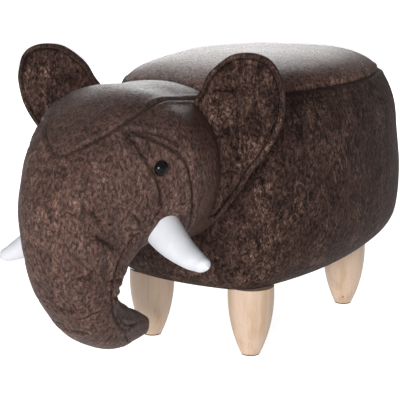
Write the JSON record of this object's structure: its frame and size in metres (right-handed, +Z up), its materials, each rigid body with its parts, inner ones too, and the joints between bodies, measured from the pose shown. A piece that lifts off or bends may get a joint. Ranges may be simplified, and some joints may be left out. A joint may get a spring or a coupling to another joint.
{
  "type": "footstool",
  "caption": "Padded footstool shaped like a standing elephant, with a stuffed head, curled trunk, flap ears, cloth tusks and turned wooden legs.",
  "frame": {"origin": "on the floor, under the middle of the stool's outer box", "axes": "+Z up; -Y is the way the head faces; +X is the animal's left side"},
  "size_m": [0.3481, 0.6506, 0.386],
  "materials": {
    "leather_cloth": "mottled suede-faced leather cloth",
    "tusk_cloth": "smooth white leather cloth",
    "fibre_filling": "loose fibre",
    "foam": "open cell foam",
    "beech": "clear satin lacquer",
    "plywood": "sawn",
    "zinc_steel": "zinc plated",
    "felt_pad": "pressed felt",
    "dust_cloth": "spun-bonded cloth",
    "eye_black": "polished",
    "washer_plastic": "moulded"
  },
  "bodies": {
    "stool": {"side_cover": "leather_cloth", "seat_cover": "leather_cloth", "crown_panel": "leather_cloth", "under_panel": "leather_cloth", "cheek_panel_left": "leather_cloth", "cheek_panel_right": "leather_cloth", "eye_panel_left": "leather_cloth", "eye_panel_right": "leather_cloth", "face_panel": "leather_cloth", "trunk_tip_patch": "leather_cloth", "tusk_skin_left": "tusk_cloth", "tusk_skin_right": "tusk_cloth", "tusk_fill_left": "fibre_filling", "tusk_fill_right": "fibre_filling", "head_stuffing": "fibre_filling", "trunk_stuffing": "fibre_filling", "side_foam": "foam", "seat_foam": "foam", "leg_front_left": "beech", "leg_front_right": "beech", "leg_rear_left": "beech", "leg_rear_right": "beech", "base_board": "plywood", "seat_deck": "plywood", "side_panel_left": "plywood", "side_panel_right": "plywood", "front_panel": "plywood", "rear_panel": "plywood", "hanger_bolts": "zinc_steel", "tee_nuts": "zinc_steel", "frame_screws": "zinc_steel", "foot_pads": "felt_pad", "dust_cover": "dust_cloth", "eye_left": "eye_black", "eye_right": "eye_black", "eye_washers": "washer_plastic"},
    "ear_left": {"ear_front_left": "leather_cloth", "ear_back_left": "leather_cloth", "ear_wadding_left": "fibre_filling"},
    "ear_right": {"ear_front_right": "leather_cloth", "ear_back_right": "leather_cloth", "ear_wadding_right": "fibre_filling"}
  },
  "joints": [
    {"name": "ear_left_flap", "type": "hinge", "parent": "stool", "child": "ear_left", "pos_m": [0.093, -0.124, 0.252], "axis": [0.0061, -0.0869, 0.9962], "range_deg": [-40, 25], "stiffness_Nm_per_rad": 0.6},
    {"name": "ear_right_flap", "type": "hinge", "parent": "stool", "child": "ear_right", "pos_m": [-0.093, -0.124, 0.252], "axis": [0.0061, 0.0869, -0.9962], "range_deg": [-24, 41], "stiffness_Nm_per_rad": 0.6}
  ]
}
